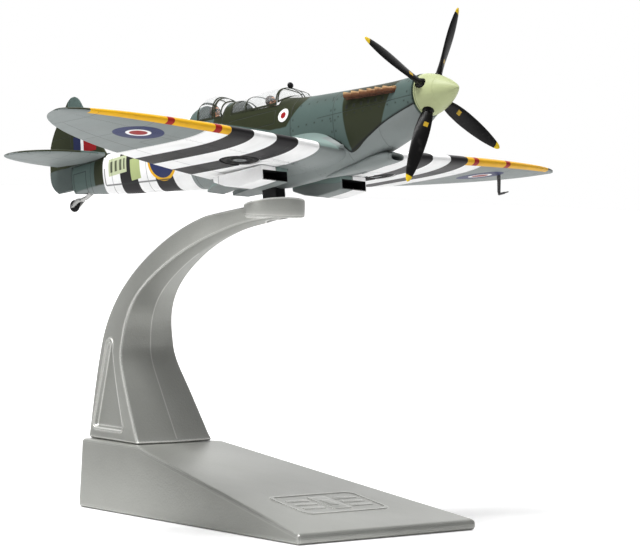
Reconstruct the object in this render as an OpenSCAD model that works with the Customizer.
// Two-seat warbird display model on a curved stand.
// World frame: origin at the middle of the base's flat underside, +X towards the low front of the
// base and the nose, +Y to port, +Z up.
// Aircraft frame: origin on the propeller axis in the plane of the blades, same directions.

/* [Stand base] */
// Length of the wedge base, back to front
base_len = 86.6; // [80:0.2:96]
// Width of the base at its back edge
base_back_w = 20.4; // [19:0.2:26]
// Width of the base at its front edge
base_front_w = 60.3; // [50:0.2:70]
// Height of the level part that carries the arm
base_h = 16; // [14:0.5:18]
// Length of the level part
plateau_len = 22.5; // [22:0.5:28]
// Thickness of the base at its front edge
base_toe = 2.4; // [2.2:0.1:4]
// Wall thickness of the base shell
base_wall = 1.8; // [1.4:0.1:2]

/* [Stand arm] */
// Width of the arm's foot at the back
foot_back_w = 15.3; // [14:0.1:16]
// Width of the arm's foot at the front
foot_front_w = 25; // [22:0.1:26]
// Diameter of the round head on top of the arm
head_d = 13.8; // [12:0.2:15]
// Height of the head's flat underside
head_base = 69.2; // [68.8:0.1:69.4]

/* [Aircraft attitude] */
// Height of the propeller hub above the table
hub_z = 97.8; // [97.8:0.1:98.6]
// Distance of the propeller hub ahead of the base's middle
hub_x = 51.8; // [51:0.1:52.4]
// Nose-up angle
pitch = 11.9; // [11.5:0.1:12.3]
// Bank angle, negative lowers the port wing
roll = -4.3; // [-5:0.1:0]
// Heading angle, negative turns the nose to starboard
yaw = -2.7; // [-4:0.1:0]

/* [Propeller] */
// Diameter swept by the blades
prop_d = 45.5; // [43:0.1:47]
// Angle of the first blade from straight up
blade_phase = -63.3; // [-90:0.1:90]
// Radius of the spinner at its back
spinner_r = 4.7; // [4.6:0.1:4.9]
// Distance of the spinner tip ahead of the hub
spinner_tip = 7.7; // [7:0.1:9]

/* [Wing] */
// Half of the wing span
half_span = 78; // [76:0.1:80]
// Wing chord at the centreline
root_chord = 35.4; // [34.6:0.1:36]
// Height of the wing's chord line at the centreline, from the propeller axis
wing_z = -9.55; // [-9.7:0.05:-9.4]
// Upward slope of each wing
dihedral = 3.8; // [3.4:0.1:4.4]
// Thickness of the wing at the root as a share of its chord
root_thick = 0.13; // [0.12:0.005:0.14]

/* [Tail] */
// Half of the tailplane span
tail_half_span = 22.3; // [20:0.1:24]
// Chord of the tailplane at the centreline
tail_chord = 17.3; // [16.5:0.1:17.5]
// Radius of the tail wheel
tail_wheel_r = 1.45; // [1.3:0.05:1.5]

/* [Hidden] */

$fn = 48;
eps = 0.01;
// Running clearance of the shaft and the axle, and the gap between pieces that only touch
run_gap = 0.04;
seam_gap = 0.03;
dark_green = [0.27, 0.29, 0.21];
sea_grey = [0.60, 0.64, 0.63];
ocean_grey = [0.38, 0.44, 0.44];
satin_silver = [0.62, 0.62, 0.60];
clear = [0.8, 0.9, 0.95, 0.35];
black = [0.1, 0.1, 0.1];

// ---------- shared shapes ----------

function backwards(v) = [for (i = [len(v) - 1:-1:0]) v[i]];

// Solid between closed rings of points that all have the same count.
module loft(rings) {
    n = len(rings[0]);
    last = len(rings) - 1;
    points = [for (r = rings) each r];
    sides = [for (k = [0:last - 1], i = [0:n - 1])
        each [[k * n + i, k * n + (i + 1) % n, (k + 1) * n + i],
              [k * n + (i + 1) % n, (k + 1) * n + (i + 1) % n, (k + 1) * n + i]]];
    caps = [[for (i = [n - 1:-1:0]) i], [for (i = [0:n - 1]) last * n + i]];
    polyhedron(points, concat(sides, caps));
}

// Thin curved shell between an outer and an inner arc of points on every station.
module shell_loft(outer, inner) {
    n = len(outer[0]);
    m = 2 * n;
    last = len(outer) - 1;
    points = [for (k = [0:last]) each concat(outer[k], [for (i = [n - 1:-1:0]) inner[k][i]])];
    sides = [for (k = [0:last - 1], i = [0:m - 1])
        each [[k * m + i, k * m + (i + 1) % m, (k + 1) * m + i],
              [k * m + (i + 1) % m, (k + 1) * m + (i + 1) % m, (k + 1) * m + i]]];
    caps = [for (i = [0:n - 2])
        each [[m - 1 - i, m - 2 - i, i + 1, i],
              [last * m + i, last * m + i + 1, last * m + m - 2 - i, last * m + m - 1 - i]]];
    polyhedron(points, concat(sides, caps));
}

// Flat outline in the XZ plane, given width across Y and centred on the XZ plane.
module side_plate(outline, width) {
    translate([0, width / 2, 0]) rotate([90, 0, 0]) linear_extrude(width) polygon(outline);
}

module rod(from, to, r) {
    d = to - from;
    translate(from) rotate([0, acos(d.z / norm(d)), atan2(d.y, d.x)]) cylinder(h = norm(d), r = r);
}

module both_sides() {
    children();
    mirror([0, 1, 0]) children();
}

module in_flight() {
    translate([hub_x, 0, hub_z]) rotate([roll, -pitch, yaw]) children();
}

// ---------- stand ----------

back_x = -base_len / 2;
arm_screw_x = [back_x + 5.5, back_x + 15.5];
screw_r = 1;
foot_z = base_h + 0.1;

function base_profile(inset) = [
    [back_x + inset, -eps], [back_x + inset, base_h - inset],
    [back_x + plateau_len - inset / 3, base_h - inset],
    [base_len / 2 - inset * 2, base_toe - inset * 0.8], [base_len / 2 - inset * 2, -eps]];

module base_solid(inset) {
    taper = (base_front_w - base_back_w) / 2 / base_len;
    intersection() {
        side_plate(base_profile(inset), base_front_w + 10);
        linear_extrude(base_h + 1) polygon([
            [back_x, -base_back_w / 2 + inset], [-back_x, -base_front_w / 2 + inset],
            [-back_x, base_front_w / 2 - inset], [back_x, base_back_w / 2 - inset]]);
    }
}

module base() {
    color(satin_silver) difference() {
        union() {
            difference() {
                translate([0, 0, eps]) base_solid(0);
                translate([0, 0, -eps]) base_solid(base_wall);
            }
            for (x = arm_screw_x) translate([x, 0, 4]) cylinder(h = base_h - 4, r = 3);
        }
        for (x = arm_screw_x) {
            translate([x, 0, -eps]) cylinder(h = base_h + 1, r = screw_r + 0.1);
            translate([x, 0, 3.9]) cylinder(h = 5.1, r = 2.1);
        }
    }
}

// Side view of the arm: the back edge leans forward in a quarter sweep, the front edge is hollow.
arm_back = [[0.3, foot_z], [0.6, 26], [1.1, 34.4], [2.1, 41.1], [4.2, 47], [7.3, 52.2], [12.2, 57.5],
    [18.3, 62.4], [24.9, 66.3], [32.1, 69.2], [40.3, 71.0], [46, 71.6]];
arm_front = [[20.9, foot_z], [15.4, 27], [11.9, 34.4], [11.2, 39.2], [11.5, 44.2], [13.3, 49.2],
    [16.9, 53.7], [22.4, 58.2], [28.2, 61.8], [35, 64.9], [42.5, 67.4], [52, 69.2]];
arm_width = [25, 21.9, 19.2, 17.4, 15.6, 13.8, 11.8, 9.8, 8.2, 7.0, 6.2, 5.6];

// The crease down the middle of the front face stays in the plane of its ring.
function arm_crease(k) = let (run = arm_front[k] - arm_back[k]) 0.6 * run.y / run.x;
function arm_ring(k) = let (
        share = foot_back_w / foot_front_w,
        wf = arm_width[k] * foot_front_w / 25 / 2,
        wb = wf * min(1, share + 0.06 * max(0, k - 5)),
        b = arm_back[k], f = arm_front[k])
    [[back_x + b.x, -wb, b.y], [back_x + b.x, wb, b.y],
     [back_x + f.x, wf, f.y], [back_x + f.x + 0.6, 0, f.y + arm_crease(k)], [back_x + f.x, -wf, f.y]];

head_x = back_x + 49.5;
// Place of the peg under the belly, and height of the head's top face, in the aircraft frame
peg_x = -50.8;
peg_foot_z = -15.6;

module head_plane_cut() {
    at_peg() translate([-20, -20, 0]) cube([40, 40, 20]);
}

module arm() {
    color(satin_silver) difference() {
        union() {
            loft([for (k = [0:len(arm_back) - 1]) arm_ring(k)]);
            translate([head_x, 0, head_base]) cylinder(h = 8, r = head_d / 2);
        }
        head_plane_cut();
        // rounded triangular recess on each side of the foot
        both_sides() translate([back_x + 2.2, foot_back_w / 2 - 0.6, 18.7]) rotate([4.6, 0, 13.4])
            rotate([90, 0, 0]) translate([0, 0, -6]) linear_extrude(6)
                polygon([[0, 0], [12.9, 0], [4.2, 20], [2.6, 20]]);
        for (x = arm_screw_x) translate([x, 0, foot_z - 1]) cylinder(h = 9, r = screw_r - 0.15);
        at_peg() {
            translate([0, 0, -6]) cylinder(h = 7, r = screw_r - 0.1);
            translate([0, 0, -9.7]) cylinder(h = 7.5, r = 2.1);
            translate([0, 0, -0.8]) linear_extrude(2) square([6.1, 4.1], center = true);
        }
    }
}

module arm_screws() {
    color("gray") for (x = arm_screw_x) translate([x, 0, 0]) {
        translate([0, 0, 7.6]) cylinder(h = 1.35, r = 1.9);
        translate([0, 0, 8.9]) cylinder(h = 13, r = screw_r - 0.1);
    }
}

// Frame of the peg: on the head's top face, parallel to the aircraft.
module at_peg() {
    in_flight() translate([peg_x, 0, peg_foot_z]) children();
}

peg_size = [4.6, 3.0];
peg_h = 7.4;
module peg() {
    color(black) at_peg() difference() {
        union() {
            translate([0, 0, -0.75]) linear_extrude(1.3) square([6, 4], center = true);
            linear_extrude(peg_h) square(peg_size, center = true);
        }
        translate([0, 0, -1]) cylinder(h = 4.6, r = screw_r - 0.2);
    }
}

module peg_screw() {
    color("gray") at_peg() {
        translate([0, 0, -3.2]) cylinder(h = 0.95, r = 1.7);
        translate([0, 0, -2.3]) cylinder(h = 5.2, r = screw_r - 0.15);
    }
}

// ---------- fuselage ----------

nose_x = -1.95;
skin = 0.9;
body_power = 2.2;
// Stations of the body: distance, top, bottom, half width, height of the widest level
stations = [
    [nose_x, 4.9, -4.9, 4.9, 0], [-4, 4.95, -6.4, 5.0, -0.3], [-8, 5.05, -8.3, 5.15, -0.7],
    [-13, 5.25, -9.9, 5.3, -1.1], [-20, 5.65, -11.3, 5.6, -1.6], [-24, 5.85, -11.8, 5.75, -1.8],
    [-27, 6.0, -12.1, 5.85, -1.9], [-31, 6.2, -12.4, 5.95, -2], [-36, 6.45, -12.6, 6.1, -2],
    [-39.5, 6.8, -12.7, 6.2, -2], [-45, 7.8, -12.7, 6.2, -1.9], [-50, 8.5, -12.3, 6.15, -1.7],
    [-55, 9.2, -11.6, 6.0, -1.5], [-58.6, 9.65, -10.9, 5.85, -1.2], [-61.3, 9.8, -10.3, 5.7, -1.0],
    [-64.5, 10.2, -9.7, 5.5, -0.8], [-70.2, 10.8, -8.7, 5.05, -0.4], [-71.7, 10.7, -8.45, 4.9, -0.3],
    [-76.2, 8.9, -7.8, 4.5, 0], [-82, 7.7, -7.0, 4.0, 0.2], [-90, 6.8, -6.0, 3.3, 0.6],
    [-98, 6.1, -4.9, 2.6, 0.9], [-104.2, 5.7, -3.9, 2.1, 1.2], [-110, 5.35, -2.9, 1.6, 1.4],
    [-116.9, 4.95, -1.7, 1.0, 1.6]];
// Joint between the fuselage halves and the lower casting, in side view
seam = [[-64.4, -9.75], [-60, -7.2], [-56, -5.6], [-50, -4.6], [-40, -4.2], [-30, -4.5], [-27, -5.2],
    [-24, -7.2], [-22.4, -9.2], [-21.9, -9.4], [-16.2, -7.1], [-11.5, -5.1], [-7.7, -3.9],
    [nose_x, -2.4]];

function column(c) = [for (i = [len(stations) - 1:-1:0]) [stations[i][0], stations[i][c]]];
function top_at(x) = lookup(x, column(1));
function bottom_at(x) = lookup(x, column(2));
function width_at(x) = lookup(x, column(3));
function middle_at(x) = lookup(x, column(4));
function seam_at(x) = lookup(x, seam);

// Point on the body's section at angle a from straight up, with the skin taken off by t.
function body_point(x, a, t = 0, side = 1) = let (
        c = cos(a), s = sin(a), e = 2 / body_power, m = middle_at(x),
        rise = c >= 0 ? top_at(x) - t - m : m - bottom_at(x) - t)
    [x, side * (width_at(x) - t) * sign(s) * pow(abs(s), e), m + sign(c) * rise * pow(abs(c), e)];

// Angle at which the section reaches height z below its widest level.
function angle_at(x, z, t = 0) = let (
        m = middle_at(x), depth = m - bottom_at(x) - t, share = min(1, max(0, (m - z) / depth)))
    90 + asin(pow(share, body_power / 2));

// The shells stop just behind the nose ring and ahead of the sternpost.
hull_x = concat([for (s = stations) s[0]], [-7.7, -11.5, -16.2, -21.9, -22.4, -60]);
function sorted(v) = len(v) < 2 ? v : let (p = v[floor(len(v) / 2)])
    concat(sorted([for (a = v) if (a > p) a]), [p], sorted([for (a = v) if (a < p) a]));
hull_stations = sorted(hull_x);
arc_steps = 12;

function half_arc(x, t, side) = let (
        end = x < -64.4 ? 180 : angle_at(x, seam_at(x) + seam_gap, t))
    [for (i = [0:arc_steps]) body_point(x, end * i / arc_steps, t, side)];

cut_front_cockpit = [[-43.3, 5.4], [-58.6, 5.75], [-58.6, 16], [-43.3, 16]];
cut_rear_cockpit = [[-61.3, 5.75], [-70.2, 6.3], [-70.2, 16], [-61.3, 16]];
cut_front_well = [[-41.2, -2], [-43.4, -2], [-43.4, 9], [-41.2, 9]];
cut_fin_seat = [[-104.4, 4.75], [-118, 4.75], [-118, 9], [-104.4, 9]];
tail_leg_x = -111.8;

post_r = 1.3;
// Screw posts: [distance, side offset]
front_post = [-31.5, 2.2];
rear_post = [-60, -2.0];

module screw_post(place, top) {
    reach = (width_at(place.x) - skin / 2) * sign(place.y);
    low = max(seam_at(place.x - post_r), seam_at(place.x + post_r)) + 0.1;
    difference() {
        union() {
            translate([place.x, place.y, low]) cylinder(h = top - low, r = post_r);
            translate([place.x - 0.5, min(place.y, reach), -3.2])
                cube([1, abs(reach - place.y), top + 3.2]);
        }
        translate([place.x, place.y, low - 1]) cylinder(h = top - low, r = 0.55);
    }
}

module fuselage_half(side, post, post_top) {
    difference() {
        union() {
            translate([0, side * eps, 0]) shell_loft(
                [for (x = side > 0 ? backwards(hull_stations) : hull_stations) half_arc(x, 0, side)],
                [for (x = side > 0 ? backwards(hull_stations) : hull_stations) half_arc(x, skin, side)]);
            screw_post(post, post_top);
        }
        side_plate(cut_front_cockpit, 20);
        side_plate(cut_rear_cockpit, 20);
        side_plate(cut_front_well, 7);
        side_plate(cut_fin_seat, 20);
        translate([tail_leg_x, 0, -6]) cylinder(h = 7, r = 0.7);
    }
}
module fuselage_port() {
    color(dark_green) in_flight() fuselage_half(1, front_post, 1.5);
}

module fuselage_starboard() {
    color(ocean_grey) in_flight() fuselage_half(-1, rear_post, 2);
}

// ---------- wings ----------

wing_axis_x = -35.9;
wing_lead = 0.352;
washout = 2.5;
wing_edge = 0.12;

function chord_at(y) = root_chord * sqrt(max(0, 1 - pow(y / half_span, 2)));
// Half thickness of the section at share u of its chord, for a thickness ratio t
function foil_half(u, t) = 5 * t * (0.2969 * sqrt(u) - 0.126 * u - 0.3516 * u * u
    + 0.2843 * pow(u, 3) - 0.1015 * pow(u, 4));
function camber(u) = 0.06 * u * (1 - u);
foil_steps = 10;
// Shares of the chord: from the trailing edge over the top to the nose, and back underneath
foil_path = [for (i = [0:foil_steps]) [(1 + cos(180 * i / foil_steps)) / 2, 1],
             for (i = [foil_steps - 1:-1:1]) [(1 + cos(180 * i / foil_steps)) / 2, -1]];

function wing_ring(y, side) = let (
        c = chord_at(y), t = root_thick - 0.04 * y / half_span, inc = washout * (1 - y / half_span),
        z0 = wing_z + y * tan(dihedral))
    [for (f = foil_path) let (
            dx = (wing_lead - f[0]) * c,
            dz = camber(f[0]) * c + f[1] * (foil_half(f[0], t) * c + wing_edge * (1 - f[0])))
        [wing_axis_x + dx * cos(inc) - dz * sin(inc), side * y, z0 + dz * cos(inc) + dx * sin(inc)]];

wing_stops = [2, 9, 14, 20, 27, 34, 41, 48, 55, 61, 66, 70, 73.5, 76, 77.6, 78.6];

module wing_half(side) {
    stops = [for (y = wing_stops) y * half_span / 79.3];
    loft([for (k = [0:len(stops) - 1])
        let (r = wing_ring(stops[k], side)) side > 0 ? backwards(r) : r]);
}

// Lower part of the body below the seam, from the nose ring to the point where it runs out.
belly_steps = 14;
function belly_ring(x, t = 0) = let (a = angle_at(x, seam_at(x) - seam_gap, t))
    [for (i = [0:belly_steps]) body_point(x, a + (360 - 2 * a) * i / belly_steps, t)];
belly_x = [for (x = hull_stations) if (x > -64) x];

bush_r = 3.85;
bush_depth = 1.5;
shaft_r = 0.5;

radiator_in = 8.4;
radiator_out = 16.6;
radiator_x = -37.6;
radiator_len = 15.6;
radiator_z = -11.2;

wheel_at = [-39.2, 21.6];
wheel_r = 4.35;
well_r = wheel_r + 0.25;
// The gear leg's door runs from the pivot end to the edge of the wheel bay.
door_at = [-32.6, 10.4];
door_half = 0.75;
door_angle = atan2(wheel_at.y - door_at.y, wheel_at.x - door_at.x);
door_len = norm(wheel_at - door_at) - well_r - 0.3;

// Height of the wing's lower surface
function under_z(x, y) = let (c = chord_at(y), u = wing_lead - (x - wing_axis_x) / c,
        inc = washout * (1 - y / half_span))
    wing_z + y * tan(dihedral) + (x - wing_axis_x) * sin(inc)
        + camber(u) * c - foil_half(u, root_thick - 0.04 * y / half_span) * c - wing_edge * (1 - u);

// Frame on the wing's lower surface, tilted to lie along it.
module on_wing(place) {
    along = under_z(place.x + 2, place.y) - under_z(place.x - 2, place.y);
    across = under_z(place.x, place.y + 2) - under_z(place.x, place.y - 2);
    translate([place.x, place.y, under_z(place.x, place.y)])
        rotate([atan(across / 4), -atan(along / 4), 0]) children();
}

module lower_casting() {
    color(sea_grey) in_flight() difference() {
        union() {
            loft([for (x = backwards(belly_x)) belly_ring(x)]);
            wing_half(1);
            wing_half(-1);
        }
        translate([nose_x - bush_depth - 0.05, 0, 0]) rotate([0, 90, 0]) cylinder(h = 3, r = bush_r + 0.05);
        translate([peg_x, 0, peg_foot_z]) linear_extrude(peg_h + seam_gap)
            square([peg_size.x + 0.1, peg_size.y + 0.1], center = true);
        both_sides() {
            translate([radiator_x - radiator_len - 0.1, radiator_in - 0.1, radiator_z - 2])
                cube([radiator_len + 0.2, radiator_out - radiator_in + 0.2, 3]);
            on_wing(wheel_at) translate([0, 0, -3]) cylinder(h = 4.5, r = well_r);
            on_wing(door_at) rotate([0, 0, door_angle]) translate([-0.1, -door_half - 0.1, -2])
                cube([door_len + 0.2, 2 * door_half + 0.2, 2.9]);
        }
        for (p = [front_post, rear_post]) {
            translate([p.x, p.y, bottom_at(p.x) - 1]) cylinder(h = 14, r = 0.7);
            translate([p.x, p.y, bottom_at(p.x) - 1]) cylinder(h = 3.6, r = 1.35);
        }
    }
}

module casting_screws() {
    color("gray") in_flight() for (p = [front_post, rear_post]) translate([p.x, p.y, bottom_at(p.x) + 1.3]) {
        cylinder(h = 1.2, r = 1.25);
        translate([0, 0, 1.2]) cylinder(h = seam_at(p.x) - bottom_at(p.x) + 1.5, r = 0.6);
    }
}

// ---------- tail ----------

fin_base = 4.9;
// Height, leading edge and trailing edge of the fin and rudder
fin_stops = [[-0.6, -117.4, -122.9], [0.6, -117.2, -124.4], [3, -117.2, -125.5], [4.8, -117.2, -125.6],
    [fin_base, -104.6, -125.6], [8, -106.7, -125.4], [11, -108.3, -125], [14, -109.9, -123.6],
    [17, -111.7, -121.4], [19.4, -113.2, -119.2], [20.8, -114.1, -118.1], [21.4, -114.8, -117.3],
    [21.7, -115.4, -116.7]];

function tail_foil(lead, trail, t) = [for (f = foil_path)
    [lead + (trail - lead) * f[0], f[1] * (foil_half(f[0], t) * (lead - trail) + 0.14 * (1 - f[0] / 2))]];

module fin_and_rudder() {
    color(dark_green) in_flight() loft([for (s = fin_stops)
        [for (p = tail_foil(s[1], s[2], s[0] < fin_base ? 0.16 : 0.075)) [p.x, p.y, s[0]]]]);
}

tail_axis_x = -115.9;
tail_lead = 0.64;
tail_z = 5.75;
tail_stops = [1.0, 4, 8, 12, 15.5, 18.4, 20.4, 21.6, 22.1];

function tail_ring(y) = let (c = tail_chord * sqrt(1 - pow(y / tail_half_span, 2)),
        lead = tail_axis_x + tail_lead * c, trail = tail_axis_x - (1 - tail_lead) * c)
    [for (p = tail_foil(lead, trail, 0.085)) [p.x, y, tail_z + p.y]];

module tailplane_half() {
    loft([for (k = [len(tail_stops) - 1:-1:0]) tail_ring(tail_stops[k] * tail_half_span / 22.3)]);
}

module tailplane_port() {
    color(sea_grey) in_flight() tailplane_half();
}

module tailplane_starboard() {
    color(sea_grey) in_flight() mirror([0, 1, 0]) tailplane_half();
}

tail_wheel_at = [-117.6, 0, -4.4];
tail_wheel_w = 1.1;
axle_r = 0.25;

module tail_wheel_leg() {
    crown = [tail_wheel_at.x + 2.2, 0, tail_wheel_at.z + 1.0];
    color("silver") in_flight() difference() {
        union() {
            translate([tail_leg_x, 0, -3.2]) cylinder(h = 3.7, r = 0.68);
            rod([tail_leg_x, 0, -2.9], crown, 0.5);
            translate([crown.x - 0.3, -1.05, crown.z - 0.35]) cube([0.8, 2.1, 0.7]);
            both_sides() translate([tail_wheel_at.x - 0.5, tail_wheel_w / 2 + 0.12, tail_wheel_at.z - 0.4])
                cube([crown.x - tail_wheel_at.x + 1.0, 0.38, 1.5]);
        }
        translate(tail_wheel_at) rotate([90, 0, 0]) cylinder(h = 4, r = axle_r, center = true);
    }
}

module tail_wheel_axle() {
    color("gray") in_flight() translate(tail_wheel_at) rotate([90, 0, 0])
        cylinder(h = 2.3, r = axle_r - 0.005, center = true);
}

module tail_wheel() {
    color(black) in_flight() translate(tail_wheel_at) rotate([90, 0, 0]) rotate_extrude() difference() {
        hull() {
            for (s = [-1, 1]) translate([tail_wheel_r - 0.35, s * (tail_wheel_w / 2 - 0.35)]) circle(r = 0.35, $fn = 24);
            translate([axle_r + run_gap, -tail_wheel_w / 2]) square([0.3, tail_wheel_w]);
        }
        translate([0.65, tail_wheel_w / 2 - 0.12]) square([0.3, 1]);
    }
}

// ---------- propeller and nose ----------

backplate_t = 0.5;
spinner_back = nose_x + 0.25 + backplate_t;
hub_r = 1.9;
hub_len = 2.4;

function spinner_radius(x) = spinner_r * pow(1 - pow((x - spinner_back) / (spinner_tip - spinner_back), 1.5), 0.8);

module spinner() {
    steps = 14;
    span = spinner_tip - spinner_back;
    color([0.80, 0.84, 0.60]) in_flight() difference() {
        rotate([0, 90, 0]) rotate_extrude() difference() {
            polygon([[0, spinner_back], for (i = [0:steps]) let (x = spinner_back + span * sin(90 * i / steps))
                [spinner_radius(x), x]]);
            polygon([[0, spinner_back - eps], [spinner_r - 0.8, spinner_back - eps],
                [spinner_r - 1.9, 2.4], [0, 4.2]]);
        }
        for (k = [0:3]) rotate([-blade_phase - 90 * k, 0, 0]) cylinder(h = 8, r = 1.25);
    }
}

module spinner_backplate() {
    color([0.80, 0.84, 0.60]) in_flight() translate([nose_x + 0.25, 0, 0]) rotate([0, 90, 0]) difference() {
        cylinder(h = backplate_t - seam_gap, r = spinner_r);
        translate([0, 0, -1]) cylinder(h = 3, r = shaft_r - 0.01);
    }
}

// Blade section: distance from the axis, chord, thickness and twist
blade_stops = [[4.2, 2.0, 1.5, 54], [5.6, 2.7, 1.4, 46], [8, 3.25, 1.1, 36], [11, 3.5, 0.85, 28], [14, 3.4, 0.68, 22],
    [17, 3.0, 0.55, 18], [19.5, 2.35, 0.45, 16], [21.4, 1.6, 0.36, 15], [22.4, 0.95, 0.28, 15],
    [22.75, 0.45, 0.22, 15]];
blade_steps = 12;

function blade_ring(s) = [for (i = [0:blade_steps - 1]) let (a = 360 * i / blade_steps,
        u = s[1] / 2 * cos(a), v = s[2] / 2 * sin(a))
    [v * cos(s[3]) + u * sin(s[3]) * -1, v * sin(s[3]) + u * cos(s[3]), s[0] * prop_d / 45.5]];

module propeller() {
    color(black) in_flight() difference() {
        union() {
            rotate([0, 90, 0]) translate([0, 0, -hub_len / 2]) cylinder(h = hub_len, r = hub_r);
            for (k = [0:3]) rotate([-blade_phase - 90 * k, 0, 0]) {
                cylinder(h = 4.6, r = 1.1);
                loft([for (s = blade_stops) blade_ring(s)]);
            }
        }
        rotate([0, 90, 0]) cylinder(h = 10, r = shaft_r - 0.01, center = true);
    }
}

module propeller_shaft() {
    color("silver") in_flight() rotate([0, 90, 0]) translate([0, 0, -9]) cylinder(h = 10.2, r = shaft_r);
}

module shaft_bush() {
    color("goldenrod") in_flight() translate([nose_x - bush_depth, 0, 0]) rotate([0, 90, 0]) difference() {
        union() {
            cylinder(h = bush_depth, r = bush_r);
            translate([0, 0, -2.5]) cylinder(h = 3, r = 1.4);
        }
        translate([0, 0, -3]) cylinder(h = 6, r = shaft_r + run_gap);
    }
}

module shaft_retainer() {
    color("gray") in_flight() translate([-7.4, 0, 0]) rotate([0, 90, 0]) difference() {
        cylinder(h = 0.9, r = 1.2);
        translate([0, 0, -1]) cylinder(h = 3, r = shaft_r - 0.01);
    }
}

exhaust_first = [-7.4, 1.9];
exhaust_last = [-20.9, 2.9];

module exhaust_row() {
    span = exhaust_last - exhaust_first;
    tilt = atan2(span.y, -span.x);
    wall = 4.76;
    difference() {
        translate([exhaust_first.x, 0, exhaust_first.y]) rotate([0, tilt, 0]) {
            translate([-norm(span) - 0.4, wall - 0.3, -0.75]) cube([norm(span) + 1.2, 0.75, 1.5]);
            for (i = [0:5]) translate([-i * norm(span) / 5.4, wall + 0.3, 0]) rotate([0, 0, 152])
                translate([0, -0.35, -0.55]) cube([2.1, 0.75, 1.1]);
        }
        loft([for (x = backwards(hull_stations)) if (x > -25) [for (i = [0:47]) body_point(x, 7.5 * i, -seam_gap)]]);
    }
}

module exhaust_port() {
    color([0.55, 0.36, 0.24]) in_flight() exhaust_row();
}

module exhaust_starboard() {
    color([0.55, 0.36, 0.24]) in_flight() mirror([0, 1, 0]) exhaust_row();
}

// Scoop: distance, half width, top, bottom
scoop_stops = [[-33.4, 0.7, -12.2, -12.75], [-28, 1.7, -11.6, -13.0], [-22, 2.3, -10.9, -13.1],
    [-17, 2.5, -10.2, -13.05], [-13.4, 2.45, -10.5, -12.9], [-12, 2.1, -11.0, -12.7]];
scoop_steps = 16;

function scoop_ring(s) = [for (i = [0:scoop_steps - 1]) let (a = 360 * i / scoop_steps, m = (s[2] + s[3]) / 2,
        h = (s[2] - s[3]) / 2)
    [s[0], s[1] * sign(sin(a)) * pow(abs(sin(a)), 0.8), m + h * sign(cos(a)) * pow(abs(cos(a)), 0.8)]];

module intake_scoop() {
    color(sea_grey) in_flight() difference() {
        loft([for (s = scoop_stops) scoop_ring(s)]);
        loft([for (x = backwards(belly_x)) if (x < -12) belly_ring(x, -seam_gap)]);
        translate([-15, -1.5, -12.6]) cube([6, 3, 1.1]);
    }
}

// ---------- under the wing ----------

module radiator_housing() {
    w = radiator_out - radiator_in;
    side = [[0, 0.8], [0, -2.55], [-8, -2.9], [-radiator_len, -0.4], [-radiator_len, 0.8]];
    core = [[eps, -0.35], [eps, -2.25], [-4.5, -2.4], [-4.5, -0.35]];
    translate([radiator_x, (radiator_in + radiator_out) / 2, radiator_z]) difference() {
        side_plate(side, w);
        side_plate(core, w - 0.8);
    }
}

module radiator_port() {
    color(sea_grey) in_flight() radiator_housing();
}

module radiator_starboard() {
    color("white") in_flight() mirror([0, 1, 0]) radiator_housing();
}

module radiator_core() {
    w = radiator_out - radiator_in - 0.9;
    slats = 9;
    translate([radiator_x - 4.4, radiator_in + 0.45, radiator_z - 2.2]) difference() {
        cube([1, w, 1.8]);
        for (i = [0:slats - 1]) translate([0.6, (i + 0.3) * w / slats, 0.2]) cube([1, w / slats / 2, 1.4]);
    }
}

module radiator_core_port() {
    color(black) in_flight() radiator_core();
}

module radiator_core_starboard() {
    color(black) in_flight() mirror([0, 1, 0]) radiator_core();
}

module main_wheel() {
    on_wing(wheel_at) rotate_extrude() polygon([[0, -0.1], [1.4, -0.1], [1.8, 0.3], [2.5, 0.3], [2.9, -0.05],
        [3.8, 0.05], [wheel_r, 0.5], [wheel_r, 1.4], [0, 1.4]]);
}

module main_wheel_port() {
    color(black) in_flight() main_wheel();
}

module main_wheel_starboard() {
    color(black) in_flight() mirror([0, 1, 0]) main_wheel();
}

module gear_door() {
    on_wing(door_at) rotate([0, 0, door_angle]) translate([0, -door_half, -0.1])
        cube([door_len, 2 * door_half, 0.9]);
}

module gear_door_port() {
    color(sea_grey) in_flight() gear_door();
}

module gear_door_starboard() {
    color(sea_grey) in_flight() mirror([0, 1, 0]) gear_door();
}

pitot_y = 60;
module pitot_tube() {
    foot = under_z(-36, pitot_y) + 0.35;
    color("dimgray") in_flight() {
        rod([-36, pitot_y, foot - 0.3], [-36.2, pitot_y, -10.9], 0.22);
        rod([-36.5, pitot_y, -10.9], [-33.4, pitot_y, -10.8], 0.26);
    }
}

// ---------- cockpits ----------

glass = 0.35;
glass_steps = 10;
// Clear hood section: half width at the sill, sill height and top height
function hood_arc(x, half, sill, top, t) = [for (i = [0:glass_steps]) let (a = -90 + 180 * i / glass_steps)
    [x, (half - t) * sign(sin(a)) * pow(abs(sin(a)), 0.8), sill + (top - t - sill) * pow(max(0, cos(a)), 0.8)]];

module hood(stops) {
    shell_loft([for (s = stops) hood_arc(s[0], s[1], s[2], s[3], 0)],
               [for (s = stops) hood_arc(s[0], s[1], s[2], s[3], glass)]);
}

module windscreen_front() {
    color(clear) in_flight() hood([[-43.15, 4.6, 5.9, 10.1], [-41, 4.2, 6.35, 9.0], [-39.2, 2.9, 6.95, 7.7]]);
}

module canopy_front() {
    color(clear) in_flight() hood([[-58.55, 4.55, 5.8, 9.75], [-53.4, 4.65, 5.68, 9.9], [-49, 4.65, 5.58, 10.4],
        [-45.5, 4.6, 5.5, 10.35], [-43.4, 4.55, 5.46, 10.1]]);
}

module windscreen_rear() {
    color(clear) in_flight() hood([[-64.2, 4.4, 5.98, 11.4], [-62.8, 4.4, 5.9, 10.9], [-61.4, 4.5, 5.82, 9.9]]);
}

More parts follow.
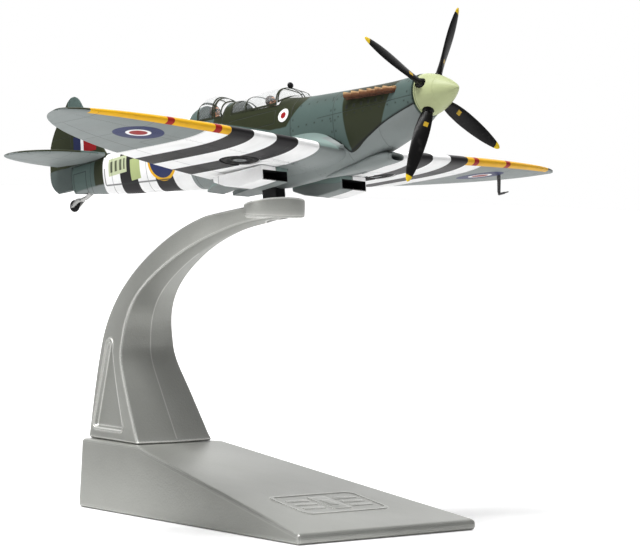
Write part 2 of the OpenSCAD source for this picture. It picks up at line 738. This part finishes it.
module canopy_rear() {
    color(clear) in_flight() hood([[-70.1, 4.0, 6.35, 11.0], [-68, 4.25, 6.25, 12.2], [-66, 4.4, 6.12, 12.2],
        [-64.3, 4.4, 6.02, 11.5]]);
}

module rear_view_mirror() {
    color(black) in_flight() translate([-43.3, 0, 10.15]) {
        cylinder(h = 0.6, r = 0.2);
        translate([0, 0, 1.1]) sphere(r = 0.75);
    }
}

// Open tub: front, back, floor and rim heights, half width
module tub(front, back, floor, rim, half) {
    wall = 0.5;
    difference() {
        translate([back, -half, floor]) cube([front - back, 2 * half, rim - floor]);
        translate([back + wall, -half + wall, floor + wall])
            cube([front - back - 2 * wall, 2 * (half - wall), rim - floor]);
    }
}

front_floor = -3.5;
rear_floor = -2.5;
module cockpit_tub_front() {
    color([0.35, 0.4, 0.33]) in_flight() tub(-43.6, -58.2, front_floor, 4.9, 3.2);
}

module cockpit_tub_rear() {
    color([0.35, 0.4, 0.33]) in_flight() tub(-61.6, -70, rear_floor, 5.6, 3.1);
}

module seat(x, floor, height) {
    translate([x, -1.6, floor + 0.52]) cube([0.5, 3.2, height]);
    translate([x + 0.5 - eps, -1.6, floor + 0.52]) cube([2.6, 3.2, 1.6]);
}

module seat_front() {
    color("dimgray") in_flight() seat(-53, front_floor, 8.4);
}

module seat_rear() {
    color("dimgray") in_flight() seat(-69.4, rear_floor, 8.4);
}

module panel(x, low, high) {
    translate([x, -2.5, low]) cube([0.4, 5, high - low]);
}

module instrument_panel_front() {
    color(black) in_flight() panel(-44.6, front_floor + 3.5, 5.6);
}

module instrument_panel_rear() {
    color(black) in_flight() panel(-62.6, rear_floor + 3.5, 6.4);
}

// Seated figure: torso and head places, hip height and height of the head's middle
module pilot(x, head_x, base, head) {
    translate([head_x, 0, head]) sphere(r = 1.4);
    translate([(x + head_x) / 2, 0, head - 2.4]) cylinder(h = 1.5, r = 0.7);
    translate([x - 0.9, -2.0, head - 4.6]) cube([1.9, 4.0, 2.5]);
    translate([x - 0.8, -1.4, base]) cube([1.7, 2.8, head - 4.3 - base]);
}

module pilot_front() {
    color([0.45, 0.33, 0.22]) in_flight() pilot(-50.2, -49.7, front_floor + 2.2, 8.0);
}

module pilot_rear() {
    color([0.45, 0.33, 0.22]) in_flight() pilot(-67.6, -68.1, rear_floor + 2.2, 9.1);
}

base();
arm();
arm_screws();
peg();
peg_screw();
fuselage_port();
fuselage_starboard();
lower_casting();
casting_screws();
fin_and_rudder();
tailplane_port();
tailplane_starboard();
tail_wheel_leg();
tail_wheel_axle();
tail_wheel();
spinner();
spinner_backplate();
propeller();
propeller_shaft();
shaft_bush();
shaft_retainer();
exhaust_port();
exhaust_starboard();
intake_scoop();
radiator_port();
radiator_starboard();
radiator_core_port();
radiator_core_starboard();
main_wheel_port();
main_wheel_starboard();
gear_door_port();
gear_door_starboard();
pitot_tube();
windscreen_front();
rear_view_mirror();
canopy_front();
windscreen_rear();
canopy_rear();
cockpit_tub_front();
cockpit_tub_rear();
seat_front();
seat_rear();
instrument_panel_front();
instrument_panel_rear();
pilot_front();
pilot_rear();
